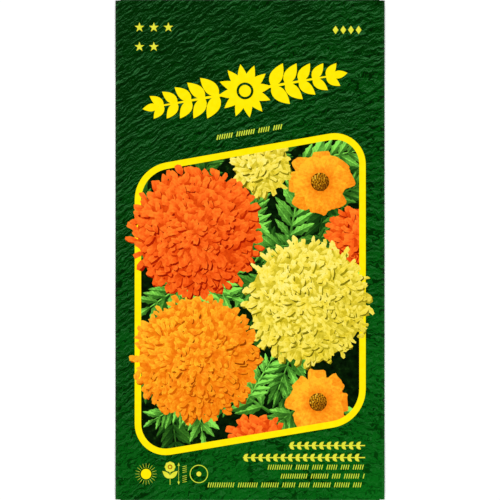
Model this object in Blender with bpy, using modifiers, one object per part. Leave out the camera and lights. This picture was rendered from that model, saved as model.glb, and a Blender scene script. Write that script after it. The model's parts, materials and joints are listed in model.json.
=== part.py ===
"""A flat paper seed packet, lying on its back with its printed face up.

One sheet of coated paper is folded into a sleeve: a glue tab is turned in at the right edge, the back
panel is turned under at the left edge and glued over the tab, and a flap at each end is folded under the
back panel and glued there. Loose flower seeds lie inside, and their bulk gives the face its low pillow.

+Z is up, +Y runs towards the packet's top, and +X is to the right of someone who reads the face.
The origin is under the packet's centre, on the surface that it lies on.
"""

import math
import random

import bmesh
import bpy
from mathutils import Matrix, Vector, geometry

MM = 0.001

# Driving dimensions
WIDTH = 80.0 * MM
LENGTH = 149.0 * MM
PAPER = 0.15 * MM
LAYER_GAP = 0.25 * MM
FOLD_RADIUS = 0.2 * MM
TAB_WIDTH = 10.0 * MM
BACK_EDGE_INSET = 2.5 * MM
BOTTOM_FLAP = 14.0 * MM
TOP_FLAP = 18.0 * MM
FLAP_TAPER = 3.0 * MM
CORNER_NOTCH = 1.5 * MM
END_FOLD_DEPTH = 0.35 * MM
RISE_LENGTH = 4.0 * MM
RISE_LEAD = 6.0 * MM

# The pillow over the seeds, highest a little below the middle
PILLOW_HEIGHT = 1.5 * MM
PILLOW_X = -2.0 * MM
PILLOW_Y = -18.0 * MM
PILLOW_POWER = 1.6

# How many cells the flat sheet's grid has in each stretch
FACE_COLUMNS, BACK_COLUMNS, TAB_COLUMNS = 14, 3, 2
FACE_ROWS, END_ROWS, RISE_ROWS, FLAP_ROWS = 12, 3, 5, 2
FOLD_CELLS = 6

# Glue lines
GLUE_THICKNESS = 0.12 * MM
SEAM_GLUE_WIDTH = 5.0 * MM
SEAM_GLUE_INSET = 4.0 * MM
FLAP_GLUE_WIDTH = 7.0 * MM
FLAP_GLUE_INSET = 3.5 * MM
FLAP_GLUE_LENGTH = 58.0 * MM

# Seeds: a slender ribbed body with a tuft of stiff scales at its upper end
SEED_COUNT = 44
SEED_VARIANTS = 3
SEED_RANDOM = 7
SEED_BODY = 7.0 * MM
SEED_RADIUS = 0.42 * MM
SEED_SIDES = 5
SEED_PROFILE = ((0.0, 0.35), (0.15, 0.62), (0.5, 0.92), (0.82, 1.0), (1.0, 0.72))
SEED_CURVE = 0.35 * MM
LONG_SCALE = 3.0 * MM
SHORT_SCALE = 1.6 * MM
SCALE_RADIUS, SCALE_TIP = 0.2 * MM, 0.04 * MM
SCALE_ROOT = 0.5 * MM
SCALE_SPREAD = math.radians(6.0)
TUFT_TURN = math.radians(22.5)
SEED_CLEARANCE = 0.08 * MM
SEED_SPACING = 1.7 * MM
SEED_AREA_X, SEED_AREA_Y = 24.0 * MM, 32.0 * MM

# Places that follow from these
HALF_WIDTH, HALF_LENGTH = WIDTH / 2, LENGTH / 2
LAYER = PAPER + LAYER_GAP
LEFT_RADIUS = FOLD_RADIUS + LAYER / 2
RIGHT_LINE = HALF_WIDTH - PAPER / 2 - FOLD_RADIUS
LEFT_LINE = HALF_WIDTH - PAPER / 2 - LEFT_RADIUS
END_LINE = HALF_LENGTH - PAPER / 2 - END_FOLD_DEPTH
FLAP_Z = PAPER / 2
END_FOLD_HEIGHT = LAYER + FOLD_RADIUS
END_FOLD_ARC = math.pi * math.sqrt((END_FOLD_DEPTH**2 + END_FOLD_HEIGHT**2) / 2)
FLAP_HALF_WIDTH = HALF_WIDTH - CORNER_NOTCH
BACK_WIDTH = LEFT_LINE + HALF_WIDTH - BACK_EDGE_INSET
BOTTOM_RISE = -(HALF_LENGTH - BOTTOM_FLAP - RISE_LEAD)
TOP_RISE = HALF_LENGTH - TOP_FLAP - RISE_LEAD


def smooth(t):
    """0 below 0, 1 above 1, and an S-curve between."""
    t = min(max(t, 0.0), 1.0)
    return t * t * (3 - 2 * t)


def rise(y):
    """How far the flap below lifts the sheet: 1 over a flap, 0 where the back lies on the surface."""
    past = y - TOP_RISE if y > 0 else BOTTOM_RISE - y
    return smooth(past / RISE_LENGTH)


def back_z(y):
    return PAPER / 2 + LAYER * rise(y)


def tab_z(y):
    return back_z(y) + LAYER


def edge_z(y):
    return tab_z(y) + 2 * FOLD_RADIUS


def pillow(x, y):
    """The height that the seeds give the face, 0 along all four edges."""
    half_x = RIGHT_LINE - PILLOW_X if x > PILLOW_X else LEFT_LINE + PILLOW_X
    half_y = END_LINE - PILLOW_Y if y > PILLOW_Y else END_LINE + PILLOW_Y
    across = max(0.0, 1 - ((x - PILLOW_X) / half_x) ** 2)
    along = max(0.0, 1 - ((y - PILLOW_Y) / half_y) ** 2)
    return PILLOW_HEIGHT * (across * along) ** PILLOW_POWER


def fold_across(u, v):
    """A point of the sleeve's middle surface. u is measured across the flat sheet and v along it, so that on
    the face u and v are x and y."""
    if u > RIGHT_LINE:
        run = u - RIGHT_LINE
        turn = min(run / FOLD_RADIUS, math.pi)
        past = max(0.0, run - math.pi * FOLD_RADIUS)
        x = RIGHT_LINE + FOLD_RADIUS * math.sin(turn) - past
        return Vector((x, v, edge_z(v) - FOLD_RADIUS * (1 - math.cos(turn))))
    if u < -LEFT_LINE:
        run = -LEFT_LINE - u
        turn = min(run / LEFT_RADIUS, math.pi)
        past = max(0.0, run - math.pi * LEFT_RADIUS)
        x = -LEFT_LINE - LEFT_RADIUS * math.sin(turn) + past
        return Vector((x, v, edge_z(v) - LEFT_RADIUS * (1 - math.cos(turn))))
    return Vector((u, v, edge_z(v) + pillow(u, v)))


def fold_end(u, v):
    """A point of an end fold or its flap, which narrows towards its free edge."""
    side = math.copysign(1.0, v)
    run = abs(v) - END_LINE
    turn = min(run / END_FOLD_ARC, 1.0) * math.pi
    past = max(0.0, run - END_FOLD_ARC)
    flap = TOP_FLAP if v > 0 else BOTTOM_FLAP
    x = u * (1 - FLAP_TAPER * past / flap / FLAP_HALF_WIDTH)
    y = END_LINE + END_FOLD_DEPTH * math.sin(turn) - past
    z = FLAP_Z + END_FOLD_HEIGHT * (1 + math.cos(turn))
    return Vector((x, side * y, z))


def fold(u, v):
    return fold_end(u, v) if abs(v) > END_LINE else fold_across(u, v)


def steps(start, end, count):
    """count values after start, evenly spaced, with end as the last."""
    return [start + (end - start) * i / count for i in range(1, count + 1)]


def columns():
    """Where the flat sheet's grid has lines across it, from the back panel's free edge to the tab's."""
    left_turn = math.pi * LEFT_RADIUS
    right_turn = math.pi * FOLD_RADIUS
    found = [-LEFT_LINE - left_turn - BACK_WIDTH]
    found += steps(found[-1], -LEFT_LINE - left_turn, BACK_COLUMNS)
    found += steps(found[-1], -LEFT_LINE, FOLD_CELLS)
    found += [-FLAP_HALF_WIDTH]
    found += steps(found[-1], FLAP_HALF_WIDTH, FACE_COLUMNS)
    found += [RIGHT_LINE]
    found += steps(found[-1], RIGHT_LINE + right_turn, FOLD_CELLS)
    found += steps(found[-1], RIGHT_LINE + right_turn + TAB_WIDTH, TAB_COLUMNS)
    return found


def rows():
    """The same along the sheet, from the bottom flap's free edge to the top flap's."""
    found = [-END_LINE - END_FOLD_ARC - BOTTOM_FLAP]
    found += steps(found[-1], -END_LINE - END_FOLD_ARC, FLAP_ROWS)
    found += steps(found[-1], -END_LINE, FOLD_CELLS)
    found += steps(found[-1], BOTTOM_RISE - RISE_LENGTH, END_ROWS)
    found += steps(found[-1], BOTTOM_RISE, RISE_ROWS)
    found += steps(found[-1], TOP_RISE, FACE_ROWS)
    found += steps(found[-1], TOP_RISE + RISE_LENGTH, RISE_ROWS)
    found += steps(found[-1], END_LINE, END_ROWS)
    found += steps(found[-1], END_LINE + END_FOLD_ARC, FOLD_CELLS)
    found += steps(found[-1], END_LINE + END_FOLD_ARC + TOP_FLAP, FLAP_ROWS)
    return found


def new_material(name, colour, roughness):
    material = bpy.data.materials.new(name)
    material.use_nodes = True
    shader = material.node_tree.nodes["Principled BSDF"]
    shader.inputs["Base Color"].default_value = (*colour, 1.0)
    shader.inputs["Roughness"].default_value = roughness
    shader.inputs["Metallic"].default_value = 0.0
    return material


def new_object(name, mesh, collection, material):
    obj = bpy.data.objects.new(name, mesh)
    collection.objects.link(obj)
    if not mesh.materials:
        mesh.materials.append(material)
    return obj


def add_solidify(obj, thickness):
    """Thickens an open surface evenly to both sides, triangulated first so that both are split alike."""
    triangles = obj.modifiers.new("Triangulate", "TRIANGULATE")
    triangles.quad_method = "FIXED"
    shell = obj.modifiers.new("Thickness", "SOLIDIFY")
    shell.thickness = thickness
    shell.offset = 0.0


def folded_grid(us, vs, place, keep):
    """A grid with lines at us and vs, less the cells that keep refuses, with each point moved by place."""
    bm = bmesh.new()
    bmesh.ops.create_grid(bm, x_segments=len(us) - 1, y_segments=len(vs) - 1, size=0.5)
    for vertex in bm.verts:
        i = round((vertex.co.x + 0.5) * (len(us) - 1))
        j = round((vertex.co.y + 0.5) * (len(vs) - 1))
        vertex.co = Vector((us[i], vs[j], 0.0))
    outside = [face for face in bm.faces if not keep(face.calc_center_median())]
    bmesh.ops.delete(bm, geom=outside, context="FACES")
    for vertex in bm.verts:
        vertex.co = place(vertex.co.x, vertex.co.y)
    mesh = bpy.data.meshes.new("sheet")
    bm.to_mesh(mesh)
    bm.free()
    mesh.shade_smooth()
    return mesh


def in_blank(centre):
    """Whether a cell belongs to the cut sheet: its body, or a flap at either end of the face."""
    return abs(centre.y) < END_LINE or abs(centre.x) < FLAP_HALF_WIDTH


def make_envelope(collection):
    mesh = folded_grid(columns(), rows(), fold, in_blank)
    paper = new_material("coated_paper", (0.008, 0.06, 0.01), 0.45)
    envelope = new_object("paper_envelope", mesh, collection, paper)
    add_solidify(envelope, PAPER)


def make_seam_glue(collection, material):
    """The glue line between the tab and the back panel, which follows their rise at both ends."""
    right = RIGHT_LINE - SEAM_GLUE_INSET
    lines = [v for v in rows() if abs(v) < END_LINE - PAPER]

    def between(u, v):
        return Vector((u, v, back_z(v) + LAYER / 2))

    mesh = folded_grid([right - SEAM_GLUE_WIDTH, right], lines, between, lambda centre: True)
    glue = new_object("seam_glue", mesh, collection, material)
    add_solidify(glue, GLUE_THICKNESS)


def make_flap_glue(name, side, collection, material):
    """The glue line between a flap and the back panel. side is 1 at the top and -1 at the bottom."""
    bpy.ops.mesh.primitive_cube_add(size=1.0)
    glue = bpy.context.object
    glue.name = name
    size = Vector((FLAP_GLUE_LENGTH, FLAP_GLUE_WIDTH, GLUE_THICKNESS))
    middle = HALF_LENGTH - FLAP_GLUE_INSET - FLAP_GLUE_WIDTH / 2
    glue.data.transform(Matrix.Diagonal((*size, 1.0)))
    glue.location = (0.0, side * middle, FLAP_Z + LAYER / 2)
    glue.data.materials.append(material)
    for old in list(glue.users_collection):
        old.objects.unlink(glue)
    collection.objects.link(glue)


def add_seed_scale(tuft, length, around):
    """One stiff scale, a thin three-sided cone rooted in the seed's upper end, in millimetres."""
    bm = bmesh.new()
    radius, tip, reach = SCALE_RADIUS / MM, SCALE_TIP / MM, (length + SCALE_ROOT) / MM
    bmesh.ops.create_cone(bm, cap_ends=True, segments=3, radius1=radius, radius2=tip, depth=reach)
    lean = Matrix.Rotation(around, 4, "Z") @ Matrix.Rotation(SCALE_SPREAD, 4, "Y")
    base = Matrix.Translation((0.0, 0.0, (SEED_BODY - SCALE_ROOT) / MM))
    bmesh.ops.transform(bm, matrix=base @ lean @ Matrix.Translation((0, 0, reach / 2)), verts=bm.verts)
    mesh = bpy.data.meshes.new("scale")
    bm.to_mesh(mesh)
    bm.free()
    tuft.objects.link(bpy.data.objects.new("scale", mesh))


def seed_body_mesh():
    """The ribbed body, a stack of pentagonal rings from its narrow foot to its shoulder, in millimetres."""
    bm = bmesh.new()
    for along, share in SEED_PROFILE:
        ring = bmesh.ops.create_circle(bm, segments=SEED_SIDES, radius=share * SEED_RADIUS / MM)["verts"]
        bmesh.ops.translate(bm, verts=ring, vec=(0.0, 0.0, along * SEED_BODY / MM))
    bmesh.ops.bridge_loops(bm, edges=bm.edges[:])
    bmesh.ops.holes_fill(bm, edges=[edge for edge in bm.edges if edge.is_boundary])
    bmesh.ops.recalc_face_normals(bm, faces=bm.faces)
    mesh = bpy.data.meshes.new("seed_body")
    bm.to_mesh(mesh)
    bm.free()
    return mesh


def make_seed_mesh(variant, helpers, material):
    """One seed lying along +X with its middle at the origin. Each variant is bent a little differently."""
    body = bpy.data.objects.new("seed_body", seed_body_mesh())
    helpers.objects.link(body)
    tuft = bpy.data.collections.new("seed_tuft")
    helpers.children.link(tuft)
    lengths = (LONG_SCALE, SHORT_SCALE, LONG_SCALE, SHORT_SCALE)
    for i, length in enumerate(lengths):
        add_seed_scale(tuft, length, variant * TUFT_TURN + i * 2 * math.pi / len(lengths))
    union = body.modifiers.new("Tuft", "BOOLEAN")
    union.operation = "UNION"
    union.operand_type = "COLLECTION"
    union.collection = tuft
    graph = bpy.context.evaluated_depsgraph_get()
    mesh = bpy.data.meshes.new_from_object(body.evaluated_get(graph))
    for helper in [body, *tuft.objects]:
        bpy.data.objects.remove(helper)
    bpy.data.collections.remove(tuft)

    whole = (SEED_BODY + LONG_SCALE) / MM
    mesh.transform(Matrix.Translation((0.0, 0.0, -whole / 2)))
    mesh.transform(Matrix.Rotation(math.pi / 2, 4, "Y"))
    bend = SEED_CURVE / MM * (variant - 1)
    for vertex in mesh.vertices:
        vertex.co.y += bend * (1 - (2 * vertex.co.x / whole) ** 2)
    mesh.transform(Matrix.Scale(MM, 4))
    mesh.name = f"seed_{variant}"
    mesh.materials.clear()
    mesh.materials.append(material)
    return mesh


def ends_of(x, y, angle):
    """The two ends of a seed's line on the surface."""
    half = (SEED_BODY + LONG_SCALE) / 2
    step = Vector((math.cos(angle), math.sin(angle))) * half
    return Vector((x, y)) - step, Vector((x, y)) + step


def distance_between(first, second):
    """The distance between two straight lines on the surface, 0 where they cross."""
    if geometry.intersect_line_line_2d(*first, *second):
        return 0.0
    found = []
    for line, other in ((first, second), (second, first)):
        for point in line:
            nearest, along = geometry.intersect_point_line(point, *other)
            nearest = Vector(other[0]).lerp(other[1], min(max(along, 0.0), 1.0))
            found.append((nearest - point).length)
    return min(found)


def seed_places():
    """(x, y, angle) for each seed, scattered over an oval below the pillow with no two seeds touching."""
    draw = random.Random(SEED_RANDOM)
    places, lines = [], []
    while len(places) < SEED_COUNT:
        radius, bearing = math.sqrt(draw.random()), draw.uniform(0, 2 * math.pi)
        x = PILLOW_X + SEED_AREA_X * radius * math.cos(bearing)
        y = PILLOW_Y + SEED_AREA_Y * radius * math.sin(bearing)
        angle = draw.uniform(0, 2 * math.pi)
        line = ends_of(x, y, angle)
        if all(distance_between(line, other) > SEED_SPACING for other in lines):
            places.append((x, y, angle))
            lines.append(line)
    return places


def make_seeds(collection, helpers):
    brown = new_material("seed_coat", (0.03, 0.022, 0.016), 0.6)
    meshes = [make_seed_mesh(variant, helpers, brown) for variant in range(SEED_VARIANTS)]
    for n, (x, y, angle) in enumerate(seed_places()):
        mesh = meshes[n % SEED_VARIANTS]
        lowest = min(vertex.co.z for vertex in mesh.vertices)
        seed = new_object(f"seed_{n + 1:02d}", mesh, collection, brown)
        seed.location = (x, y, PAPER + SEED_CLEARANCE - lowest)
        seed.rotation_euler.z = angle


def main():
    for old in list(bpy.data.objects):
        bpy.data.objects.remove(old)
    packet = bpy.data.collections.new("seed_packet")
    helpers = bpy.data.collections.new("helpers")
    bpy.context.scene.collection.children.link(packet)
    bpy.context.scene.collection.children.link(helpers)
    make_envelope(packet)
    glue = new_material("dried_glue", (0.75, 0.7, 0.55), 0.4)
    make_seam_glue(packet, glue)
    make_flap_glue("bottom_flap_glue", -1, packet, glue)
    make_flap_glue("top_flap_glue", 1, packet, glue)
    make_seeds(packet, helpers)
    bpy.data.collections.remove(helpers)


main()
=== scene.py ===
"""The looks of a flat paper seed packet, lying on its back with its printed face up.

The packet is one printed sheet. It is drawn flat first, as a printer's blank in millimetres, with u across
and v along it, so that on the face u and v are x and y. Every printed shape is an outline on the blank. The
blank is cut into triangles along all the outlines, each triangle takes its ink from the topmost shape over
it, and folding then takes the blank to where the packet's solids are.
"""

import json
import math
import random
from dataclasses import dataclass

import bpy
import numpy as np
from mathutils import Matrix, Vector, geometry

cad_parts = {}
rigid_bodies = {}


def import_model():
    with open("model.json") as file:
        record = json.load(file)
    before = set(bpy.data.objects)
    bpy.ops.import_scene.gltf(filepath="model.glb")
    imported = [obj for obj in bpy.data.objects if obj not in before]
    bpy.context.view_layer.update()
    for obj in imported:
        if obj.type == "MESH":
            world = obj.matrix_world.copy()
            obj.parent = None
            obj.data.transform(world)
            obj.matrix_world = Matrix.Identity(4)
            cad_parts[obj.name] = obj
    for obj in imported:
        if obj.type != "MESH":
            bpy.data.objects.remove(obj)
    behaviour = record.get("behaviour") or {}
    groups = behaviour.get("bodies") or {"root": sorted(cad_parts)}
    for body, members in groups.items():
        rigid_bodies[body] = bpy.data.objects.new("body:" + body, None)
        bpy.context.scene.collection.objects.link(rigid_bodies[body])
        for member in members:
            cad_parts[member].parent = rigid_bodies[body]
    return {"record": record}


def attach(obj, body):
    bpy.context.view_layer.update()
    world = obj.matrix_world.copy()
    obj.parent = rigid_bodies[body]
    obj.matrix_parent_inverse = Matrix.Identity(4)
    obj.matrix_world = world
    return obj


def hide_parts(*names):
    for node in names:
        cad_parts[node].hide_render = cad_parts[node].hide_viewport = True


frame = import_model()

MM = 0.001

# The folded sheet's sizes in millimetres, as the solids have them
WIDTH, LENGTH = 80.0, 149.0
PAPER = 0.15
LAYER_GAP = 0.25
FOLD_RADIUS = 0.2
TAB_WIDTH = 10.0
BACK_EDGE_INSET = 2.5
BOTTOM_FLAP, TOP_FLAP = 14.0, 18.0
FLAP_TAPER = 3.0
CORNER_NOTCH = 1.5
END_FOLD_DEPTH = 0.35
RISE_LENGTH, RISE_LEAD = 4.0, 6.0
PILLOW_HEIGHT, PILLOW_POWER = 1.5, 1.6
PILLOW_X, PILLOW_Y = -2.0, -18.0

HALF_WIDTH, HALF_LENGTH = WIDTH / 2, LENGTH / 2
LAYER = PAPER + LAYER_GAP
LEFT_RADIUS = FOLD_RADIUS + LAYER / 2
RIGHT_LINE = HALF_WIDTH - PAPER / 2 - FOLD_RADIUS
LEFT_LINE = HALF_WIDTH - PAPER / 2 - LEFT_RADIUS
LEFT_TURN, RIGHT_TURN = math.pi * LEFT_RADIUS, math.pi * FOLD_RADIUS
END_LINE = HALF_LENGTH - PAPER / 2 - END_FOLD_DEPTH
END_FOLD_HEIGHT = LAYER + FOLD_RADIUS
END_FOLD_ARC = math.pi * math.sqrt((END_FOLD_DEPTH**2 + END_FOLD_HEIGHT**2) / 2)
FLAP_HALF_WIDTH = HALF_WIDTH - CORNER_NOTCH
BACK_WIDTH = LEFT_LINE + HALF_WIDTH - BACK_EDGE_INSET
BOTTOM_RISE = -(HALF_LENGTH - BOTTOM_FLAP - RISE_LEAD)
TOP_RISE = HALF_LENGTH - TOP_FLAP - RISE_LEAD

# The blank's outer limits, and the place on it that folds to the middle of the back
BLANK_LEFT = -LEFT_LINE - LEFT_TURN - BACK_WIDTH
BLANK_RIGHT = RIGHT_LINE + RIGHT_TURN + TAB_WIDTH
BLANK_BOTTOM = -END_LINE - END_FOLD_ARC - BOTTOM_FLAP
BLANK_TOP = END_LINE + END_FOLD_ARC + TOP_FLAP
BACK_MIDDLE = -(2 * LEFT_LINE + LEFT_TURN)

# The photograph shows a hair less than the packet's length, with the packet's middle at its own middle
PHOTO_SIDE = 500
VIEW_SHARE = 0.997
PIXEL = VIEW_SHARE * LENGTH / PHOTO_SIDE

GOLDEN_ANGLE = math.radians(137.508)
NEAR = 1e-3
PLAIN_LEAF_STEPS = 7


def smooth(t):
    """0 below 0, 1 above 1, and an S-curve between."""
    t = np.clip(t, 0.0, 1.0)
    return t * t * (3 - 2 * t)


def srgb(*channels):
    """The linear colour of a screen colour from 0 to 255."""
    shares = [c / 255 for c in channels]
    return tuple(c / 12.92 if c <= 0.04045 else ((c + 0.055) / 1.055) ** 2.4 for c in shares)


def blend(first, second, share):
    return tuple(a + (b - a) * share for a, b in zip(first, second, strict=True))


# Folding: from the blank's u and v to x, y and z, all in millimetres and as arrays


def rise(v):
    """How far the flap below lifts the sheet: 1 over a flap, 0 where the back lies on the surface."""
    past = np.where(v > 0, v - TOP_RISE, BOTTOM_RISE - v)
    return smooth(past / RISE_LENGTH)


def edge_z(v):
    """The height of the face's edges, through the middle of the paper."""
    return PAPER / 2 + LAYER * rise(v) + LAYER + 2 * FOLD_RADIUS


def pillow(u, v):
    """The height that the seeds give the face, 0 along all four edges."""
    half_u = np.where(u > PILLOW_X, RIGHT_LINE - PILLOW_X, LEFT_LINE + PILLOW_X)
    half_v = np.where(v > PILLOW_Y, END_LINE - PILLOW_Y, END_LINE + PILLOW_Y)
    across = np.maximum(0.0, 1 - ((u - PILLOW_X) / half_u) ** 2)
    along = np.maximum(0.0, 1 - ((v - PILLOW_Y) / half_v) ** 2)
    return PILLOW_HEIGHT * (across * along) ** PILLOW_POWER


def fold_across(u, v):
    """Where the blank goes between its end folds: the face, the turns beside it, the back and the tab."""
    right, left = u - RIGHT_LINE, -LEFT_LINE - u
    right_turn = np.clip(right / FOLD_RADIUS, 0.0, math.pi)
    left_turn = np.clip(left / LEFT_RADIUS, 0.0, math.pi)
    right_x = RIGHT_LINE + FOLD_RADIUS * np.sin(right_turn) - np.maximum(0.0, right - RIGHT_TURN)
    left_x = -LEFT_LINE - LEFT_RADIUS * np.sin(left_turn) + np.maximum(0.0, left - LEFT_TURN)
    drop = FOLD_RADIUS * (1 - np.cos(right_turn)) + LEFT_RADIUS * (1 - np.cos(left_turn))
    x = np.where(right > 0, right_x, np.where(left > 0, left_x, u))
    z = edge_z(v) - drop + np.where((right > 0) | (left > 0), 0.0, pillow(u, v))
    return np.stack([x, v, z], axis=-1)


def fold_end(u, v):
    """Where the blank goes from an end fold outward: the turn and the flap."""
    run = np.abs(v) - END_LINE
    turn = np.clip(run / END_FOLD_ARC, 0.0, 1.0) * math.pi
    past = np.maximum(0.0, run - END_FOLD_ARC)
    flap = np.where(v > 0, TOP_FLAP, BOTTOM_FLAP)
    x = u * (1 - FLAP_TAPER * past / flap / FLAP_HALF_WIDTH)
    y = END_LINE + END_FOLD_DEPTH * np.sin(turn) - past
    z = PAPER / 2 + END_FOLD_HEIGHT * (1 + np.cos(turn))
    return np.stack([x, np.sign(v) * y, z], axis=-1)


def fold(u, v, lift):
    """Points on the folded sheet, lifted off its middle surface towards the printed side."""
    ending = np.abs(v) > END_LINE
    found = np.empty((len(u), 3))
    for place, chosen in ((fold_across, ~ending), (fold_end, ending)):
        here_u, here_v = u[chosen], v[chosen]
        outward = np.where(here_v > 0, NEAR, -NEAR)
        here = place(here_u, here_v)
        along_u = place(here_u + NEAR, here_v) - place(here_u - NEAR, here_v)
        along_v = (place(here_u, here_v + outward) - here) * np.sign(outward)[:, None]
        normal = np.cross(along_u, along_v)
        normal /= np.linalg.norm(normal, axis=1)[:, None]
        found[chosen] = here + lift * normal
    return found


# Outlines on the blank, all anticlockwise


def at(x, y):
    """The place on the blank of a pixel of the photograph."""
    return ((x - PHOTO_SIDE / 2) * PIXEL, (PHOTO_SIDE / 2 - y) * PIXEL)


def turns(count):
    """Evenly spread directions."""
    return [2 * math.pi * i / count for i in range(count)]


def away(start, turn, reach):
    """The point at a distance from a start, in the direction of an angle."""
    return (start[0] + reach * math.cos(turn), start[1] + reach * math.sin(turn))


def direction(turn):
    return Vector((math.cos(turn), math.sin(turn)))


def moved(start, way, reach):
    """The point at a distance from a start, along a direction."""
    return (start[0] + reach * way.x, start[1] + reach * way.y)


def circle(centre, radius, count=24):
    return [away(centre, turn, radius) for turn in turns(count)]


def star(centre, radius, points=5, inner=0.4):
    reaches = (radius, radius * inner)
    return [away(centre, math.pi / 2 + math.pi * i / points, reaches[i % 2]) for i in range(2 * points)]


def placed(outline, origin, angle):
    """An outline drawn along +u from (0, 0), turned by an angle and moved to its origin."""
    cos, sin = math.cos(angle), math.sin(angle)
    return [(origin[0] + a * cos - b * sin, origin[1] + a * sin + b * cos) for a, b in outline]


def bar(start, end, width, taper=1.0):
    """A straight bar between two points. Its end is taper times as wide as its start."""
    angle = math.atan2(end[1] - start[1], end[0] - start[0])
    reach, half = math.dist(start, end), width / 2
    return placed([(0, -half), (reach, -half * taper), (reach, half * taper), (0, half)], start, angle)


def rounded(corners, radii, inset=0.0, count=12):
    """A polygon, given anticlockwise, with its sides moved in by an inset and an arc at each corner."""
    found = []
    for i, corner in enumerate(corners):
        before = Vector(corners[i - 1]) - Vector(corner)
        after = Vector(corners[(i + 1) % len(corners)]) - Vector(corner)
        half = before.angle(after) / 2
        middle = (before.normalized() + after.normalized()).normalized()
        centre = Vector(corner) + middle * radii[i] / math.sin(half)
        radius = radii[i] - inset
        sweep = math.pi - 2 * half
        first = math.atan2(-middle.y, -middle.x) - sweep / 2
        found += [away(centre, first + sweep * j / count, radius) for j in range(count + 1)]
    return found


def leaf(length, half_width, teeth=0, depth=0.0):
    """A pointed leaf along +u, with saw teeth along its sides if it has any."""
    side = []
    steps = 2 * teeth or PLAIN_LEAF_STEPS
    for i in range(1, steps):
        t = i / steps
        width = half_width * math.sin(math.pi * t**0.8) ** 0.9
        side.append((length * t, width * (1 - depth * (i % 2 == 0))))
    return [(0.0, 0.0)] + [(a, -b) for a, b in side] + [(length, 0.0)] + side[::-1]


def petal(draw, length, half_width, bend, count, ruffle=0.07):
    """A petal along +u with a narrow root and a scalloped round tip, turning by the angle bend on its way."""
    found = []
    phase = draw.uniform(0, 2 * math.pi)
    for i in range(count):
        turn = 2 * math.pi * (i + 0.5) / count
        along = 0.5 + 0.5 * math.copysign(abs(math.cos(turn)) ** 0.7, math.cos(turn))
        wave = 1 + ruffle * float(smooth((along - 0.4) / 0.3)) * math.sin(4 * turn + phase)
        wave += draw.uniform(-0.3, 0.3) * ruffle
        across = math.copysign(abs(math.sin(turn)) ** 0.6, math.sin(turn)) * wave
        across *= 0.45 + 0.55 * float(smooth(along / 0.5))
        found.append(bent(along * wave * length, across * half_width, bend / length))
    return found


def bent(along, across, curvature):
    """Where a point beside a straight line goes when the line bends to a curvature."""
    if abs(curvature) < NEAR:
        return along, across
    radius = 1 / curvature - across
    turn = along * curvature
    return radius * math.sin(turn), 1 / curvature - radius * math.cos(turn)


def unbent(along, across, curvature):
    """What bent() did, undone, for arrays."""
    straight = np.abs(curvature) < NEAR
    curvature = np.where(straight, 1.0, curvature)
    sine, cosine = along * curvature, 1 - across * curvature
    bent_along = np.arctan2(sine, cosine) / curvature
    bent_across = (1 - np.hypot(sine, cosine)) / curvature
    return np.where(straight, along, bent_along), np.where(straight, across, bent_across)


# The print: shapes from the lowest to the topmost. The functions that draw something yield its shapes in that
# order.


@dataclass
class Shape:
    """A printed shape. Petals and leaves are shaded by their own coordinates: across them from -1 to 1, and
    along them from 0 at the root to 1 at the tip. The great size of the others makes them even."""

    outline: list
    ink: str
    origin: tuple = (0.0, 0.0)
    angle: float = 0.0
    size: tuple = (1000.0, 1000.0)
    bend: float = 0.0
    bright: float = 0.0
    chance: float = 0.0
    framed: bool = False


# The light in the printed picture comes from the upper left
PICTURE_LIGHT = Vector((-0.42, 0.52, 0.74)).normalized()


@dataclass
class Bloom:
    """How a double flower looks: its ink, and its petals' spacing, length and half width in millimetres, how
    far each one bends and turns from outward, how unevenly they are lit, how bright it is between them, how
    many of them cast a shadow and how many points an outline has."""

    ink: str
    spacing: float
    length: float
    half_width: float
    bend: float
    jitter: float
    contrast: float
    under: float
    shadows: float
    points: int


DEEP_ORANGE = Bloom("orange_petal", 1.55, 2.9, 0.80, 1.2, 1.2, 0.07, 0.62, 0.31, 13)
AMBER = Bloom("amber_petal", 1.42, 2.7, 0.66, 1.6, 1.3, 0.05, 0.68, 0.20, 11)
CREAM = Bloom("cream_petal", 1.42, 3.0, 0.56, 2.0, 1.5, 0.06, 0.63, 0.27, 11)

# The picture's frame in the photograph's pixels: its four corners anticlockwise from the bottom left
FRAME_CORNERS = ((134.7, 460.6), (365.7, 422.1), (365.7, 127.2), (134.7, 168.1))
FRAME_RADII = (31.0, 39.0, 31.0, 38.0)
FRAME_BAND = 6.5
# The shape that cuts off what is framed, which is the second of all
PICTURE_GROUND = 1

# Double flowers: kind, middle and radius in pixels, and whether the frame cuts them off
BLOOMS = (
    (CREAM, (262, 166), 30, True),
    (DEEP_ORANGE, (356, 236), 30, True),
    (DEEP_ORANGE, (258, 446), 32, True),
    (AMBER, (196, 358), 63, False),
    (DEEP_ORANGE, (196, 232), 65, False),
    (CREAM, (308, 302), 64, False),
)
# Single flowers: middle and radius in pixels, and how many petals in a ring
SINGLES = (
    ((320, 182), 34, 8),
    ((318, 402), 33, 8),
)
FLORETS = 46
SHADOW_POINTS = 10
FROND_COUNT, FROND_PAIRS = 60, 6
FROND_COLUMNS, FROND_ROWS = (145, 350), (140, 450)
FROND_LENGTHS = (14, 20)
PICTURE_SEED = 11


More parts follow.
